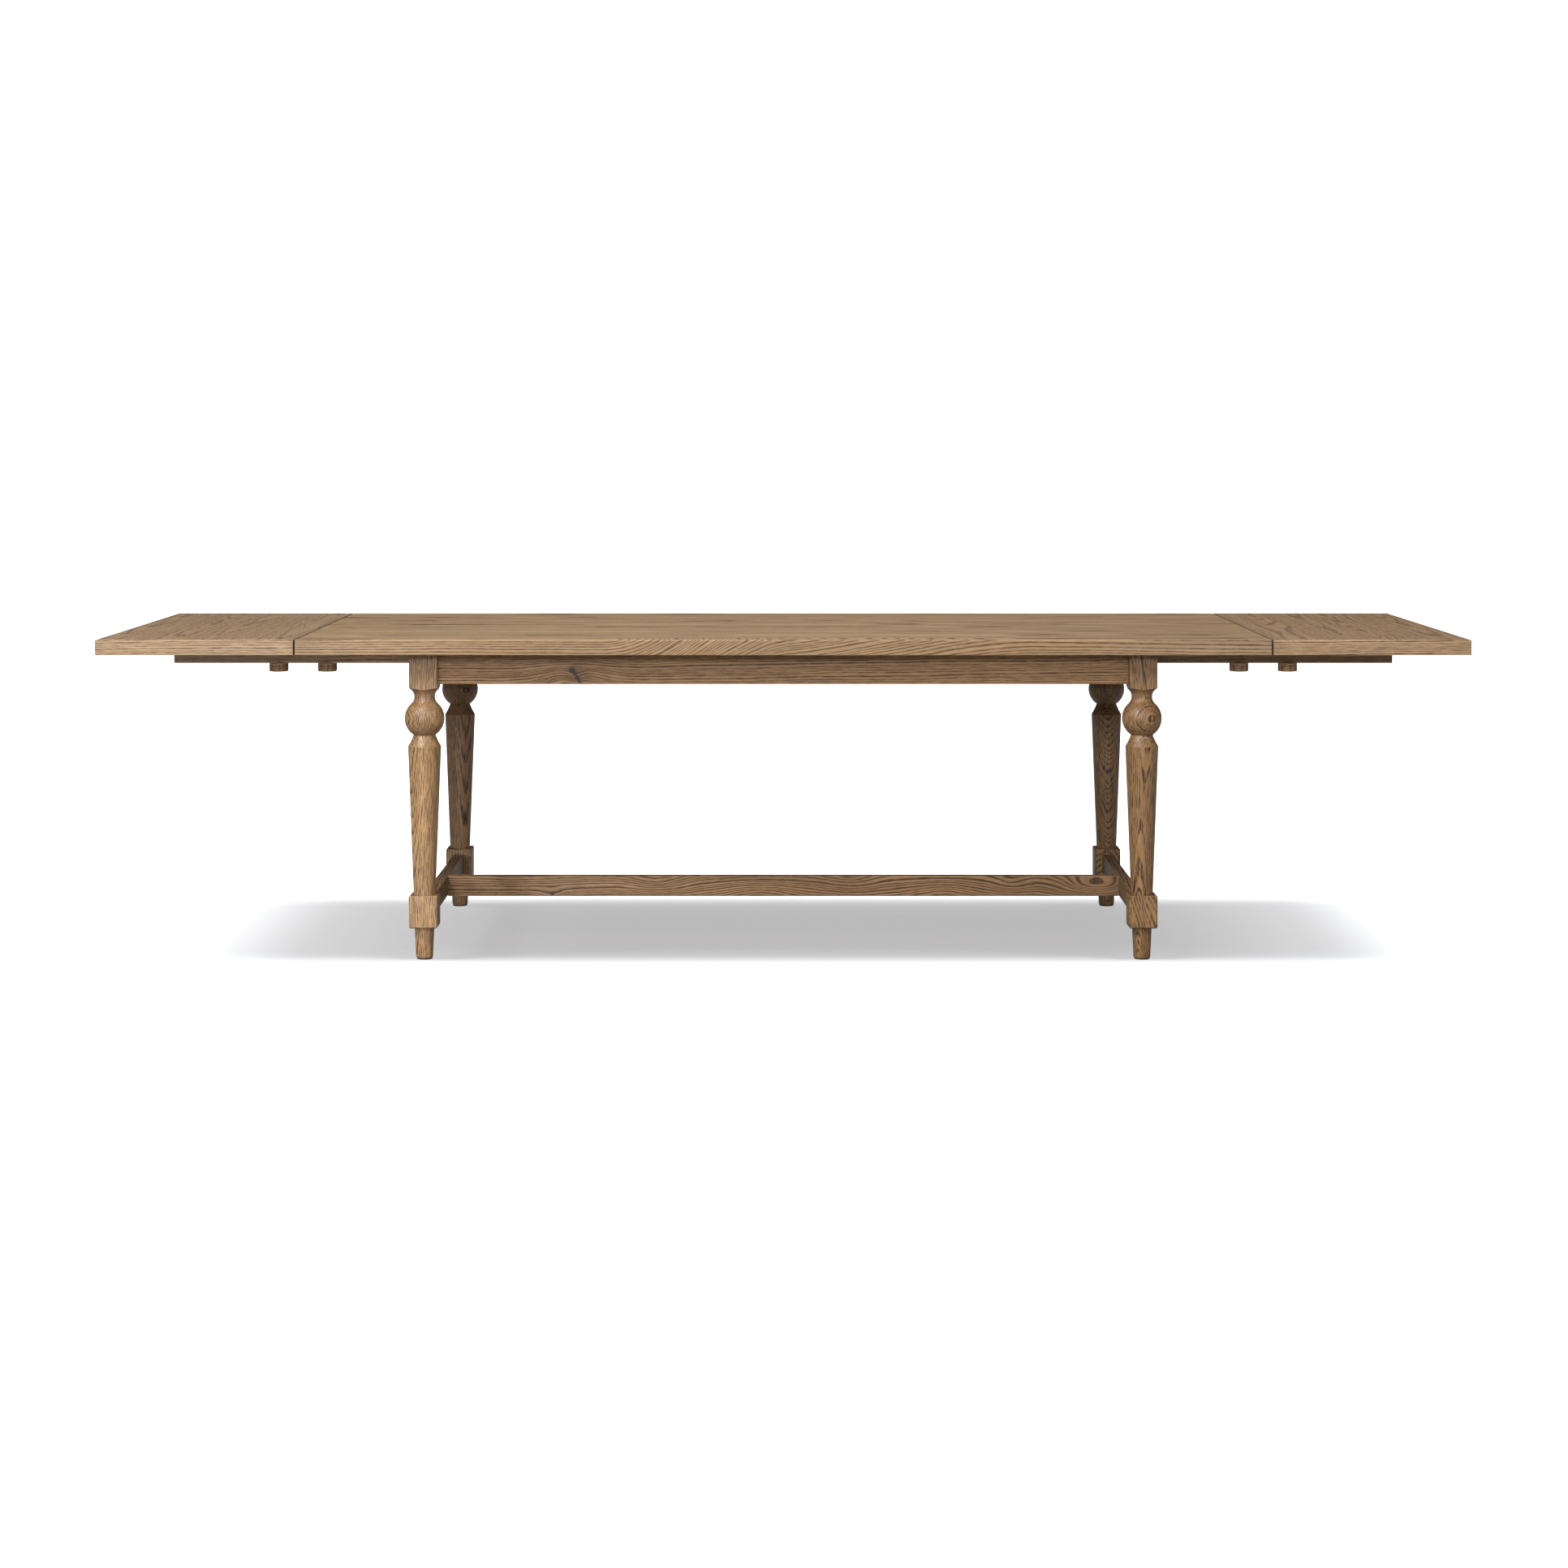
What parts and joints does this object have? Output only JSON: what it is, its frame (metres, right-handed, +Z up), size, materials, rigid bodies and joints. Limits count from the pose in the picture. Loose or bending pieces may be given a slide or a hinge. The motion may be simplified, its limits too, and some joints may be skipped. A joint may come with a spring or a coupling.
{
  "type": "extendable dining table",
  "caption": "Oak farmhouse dining table with turned legs and an H stretcher; end leaves rest on sliding arms that lobed knobs clamp to the tops.",
  "frame": {"origin": "on the floor under the middle of the table", "axes": "+X along the table to the right end, +Y from the front to the back, +Z up"},
  "size_m": [3.218, 1.016, 0.762],
  "materials": {
    "top_oak": "satin",
    "base_oak": "satin",
    "arm_oak": "matte",
    "plate_wood": "satin",
    "knob_wood": "satin",
    "steel": "zinc plated",
    "brass": "dull",
    "glide": "matte"
  },
  "bodies": {
    "base": {"leg_front_left": "base_oak", "leg_front_right": "base_oak", "leg_back_left": "base_oak", "leg_back_right": "base_oak", "apron_front": "base_oak", "apron_back": "base_oak", "apron_left": "base_oak", "apron_right": "base_oak", "stretcher_left": "base_oak", "stretcher_right": "base_oak", "stretcher_middle": "base_oak", "guide_rail_left": "base_oak", "guide_rail_right": "base_oak", "middle_rail": "base_oak", "corner_blocks": "base_oak", "hanger_bolts": "steel", "bolt_washers": "steel", "bolt_nuts": "steel", "foot_glides": "glide", "top_clips": "steel", "clip_screws": "steel", "arm_stops": "arm_oak", "main_top": "top_oak", "top_inserts": "brass", "pin_sleeves": "brass"},
    "leaf_body_left": {"leaf_left": "top_oak", "leaf_inserts_left": "brass", "leaf_pins_left": "brass"},
    "leaf_body_right": {"leaf_right": "top_oak", "leaf_inserts_right": "brass", "leaf_pins_right": "brass"},
    "arm_body_front_left": {"arm_front_left": "arm_oak"},
    "arm_body_front_right": {"arm_front_right": "arm_oak"},
    "arm_body_back_left": {"arm_back_left": "arm_oak"},
    "arm_body_back_right": {"arm_back_right": "arm_oak"},
    "plate_body_front_left_inner": {"plate_front_left_inner": "plate_wood"},
    "knob_body_front_left_inner": {"knob_front_left_inner": "knob_wood", "stud_front_left_inner": "steel"},
    "plate_body_front_left_outer": {"plate_front_left_outer": "plate_wood"},
    "knob_body_front_left_outer": {"knob_front_left_outer": "knob_wood", "stud_front_left_outer": "steel"},
    "plate_body_front_right_inner": {"plate_front_right_inner": "plate_wood"},
    "knob_body_front_right_inner": {"knob_front_right_inner": "knob_wood", "stud_front_right_inner": "steel"},
    "plate_body_front_right_outer": {"plate_front_right_outer": "plate_wood"},
    "knob_body_front_right_outer": {"knob_front_right_outer": "knob_wood", "stud_front_right_outer": "steel"},
    "plate_body_back_left_inner": {"plate_back_left_inner": "plate_wood"},
    "knob_body_back_left_inner": {"knob_back_left_inner": "knob_wood", "stud_back_left_inner": "steel"},
    "plate_body_back_left_outer": {"plate_back_left_outer": "plate_wood"},
    "knob_body_back_left_outer": {"knob_back_left_outer": "knob_wood", "stud_back_left_outer": "steel"},
    "plate_body_back_right_inner": {"plate_back_right_inner": "plate_wood"},
    "knob_body_back_right_inner": {"knob_back_right_inner": "knob_wood", "stud_back_right_inner": "steel"},
    "plate_body_back_right_outer": {"plate_back_right_outer": "plate_wood"},
    "knob_body_back_right_outer": {"knob_back_right_outer": "knob_wood", "stud_back_right_outer": "steel"}
  },
  "joints": [
    {"name": "leaf_left_slide", "type": "slide", "parent": "base", "child": "leaf_body_left", "axis": [-1, 0, 0], "range_m": [0, 0.28]},
    {"name": "leaf_right_slide", "type": "slide", "parent": "base", "child": "leaf_body_right", "axis": [1, 0, 0], "range_m": [0, 0.28]},
    {"name": "arm_front_left_slide", "type": "slide", "parent": "base", "child": "arm_body_front_left", "axis": [1, 0, 0], "range_m": [0, 0.31]},
    {"name": "arm_front_right_slide", "type": "slide", "parent": "base", "child": "arm_body_front_right", "axis": [-1, 0, 0], "range_m": [0, 0.31]},
    {"name": "arm_back_left_slide", "type": "slide", "parent": "base", "child": "arm_body_back_left", "axis": [1, 0, 0], "range_m": [0, 0.31]},
    {"name": "arm_back_right_slide", "type": "slide", "parent": "base", "child": "arm_body_back_right", "axis": [-1, 0, 0], "range_m": [0, 0.31]},
    {"name": "plate_front_left_inner_drop", "type": "slide", "parent": "base", "child": "plate_body_front_left_inner", "axis": [0, 0, -1], "range_m": [0, 0.0125]},
    {"name": "knob_front_left_inner_turn", "type": "hinge", "parent": "plate_body_front_left_inner", "child": "knob_body_front_left_inner", "pos_m": [-1.089, -0.343, 0.68], "axis": [0, 0, -1], "range_deg": [0, 3600]},
    {"name": "plate_front_left_outer_drop", "type": "slide", "parent": "leaf_body_left", "child": "plate_body_front_left_outer", "axis": [0, 0, -1], "range_m": [0, 0.0125]},
    {"name": "knob_front_left_outer_turn", "type": "hinge", "parent": "plate_body_front_left_outer", "child": "knob_body_front_left_outer", "pos_m": [-1.205, -0.343, 0.68], "axis": [0, 0, -1], "range_deg": [0, 3600]},
    {"name": "plate_front_right_inner_drop", "type": "slide", "parent": "base", "child": "plate_body_front_right_inner", "axis": [0, 0, -1], "range_m": [0, 0.0125]},
    {"name": "knob_front_right_inner_turn", "type": "hinge", "parent": "plate_body_front_right_inner", "child": "knob_body_front_right_inner", "pos_m": [1.089, -0.343, 0.68], "axis": [0, 0, -1], "range_deg": [0, 3600]},
    {"name": "plate_front_right_outer_drop", "type": "slide", "parent": "leaf_body_right", "child": "plate_body_front_right_outer", "axis": [0, 0, -1], "range_m": [0, 0.0125]},
    {"name": "knob_front_right_outer_turn", "type": "hinge", "parent": "plate_body_front_right_outer", "child": "knob_body_front_right_outer", "pos_m": [1.205, -0.343, 0.68], "axis": [0, 0, -1], "range_deg": [0, 3600]},
    {"name": "plate_back_left_inner_drop", "type": "slide", "parent": "base", "child": "plate_body_back_left_inner", "axis": [0, 0, -1], "range_m": [0, 0.0125]},
    {"name": "knob_back_left_inner_turn", "type": "hinge", "parent": "plate_body_back_left_inner", "child": "knob_body_back_left_inner", "pos_m": [-1.089, 0.343, 0.68], "axis": [0, 0, -1], "range_deg": [0, 3600]},
    {"name": "plate_back_left_outer_drop", "type": "slide", "parent": "leaf_body_left", "child": "plate_body_back_left_outer", "axis": [0, 0, -1], "range_m": [0, 0.0125]},
    {"name": "knob_back_left_outer_turn", "type": "hinge", "parent": "plate_body_back_left_outer", "child": "knob_body_back_left_outer", "pos_m": [-1.205, 0.343, 0.68], "axis": [0, 0, -1], "range_deg": [0, 3600]},
    {"name": "plate_back_right_inner_drop", "type": "slide", "parent": "base", "child": "plate_body_back_right_inner", "axis": [0, 0, -1], "range_m": [0, 0.0125]},
    {"name": "knob_back_right_inner_turn", "type": "hinge", "parent": "plate_body_back_right_inner", "child": "knob_body_back_right_inner", "pos_m": [1.089, 0.343, 0.68], "axis": [0, 0, -1], "range_deg": [0, 3600]},
    {"name": "plate_back_right_outer_drop", "type": "slide", "parent": "leaf_body_right", "child": "plate_body_back_right_outer", "axis": [0, 0, -1], "range_m": [0, 0.0125]},
    {"name": "knob_back_right_outer_turn", "type": "hinge", "parent": "plate_body_back_right_outer", "child": "knob_body_back_right_outer", "pos_m": [1.205, 0.343, 0.68], "axis": [0, 0, -1], "range_deg": [0, 3600]}
  ],
  "couplings": [
    {"joint": "knob_front_left_inner_turn", "follows": "plate_front_left_inner_drop", "rad_per_m": 5026.5},
    {"joint": "knob_front_left_outer_turn", "follows": "plate_front_left_outer_drop", "rad_per_m": 5026.5},
    {"joint": "knob_front_right_inner_turn", "follows": "plate_front_right_inner_drop", "rad_per_m": 5026.5},
    {"joint": "knob_front_right_outer_turn", "follows": "plate_front_right_outer_drop", "rad_per_m": 5026.5},
    {"joint": "knob_back_left_inner_turn", "follows": "plate_back_left_inner_drop", "rad_per_m": 5026.5},
    {"joint": "knob_back_left_outer_turn", "follows": "plate_back_left_outer_drop", "rad_per_m": 5026.5},
    {"joint": "knob_back_right_inner_turn", "follows": "plate_back_right_inner_drop", "rad_per_m": 5026.5},
    {"joint": "knob_back_right_outer_turn", "follows": "plate_back_right_outer_drop", "rad_per_m": 5026.5}
  ]
}
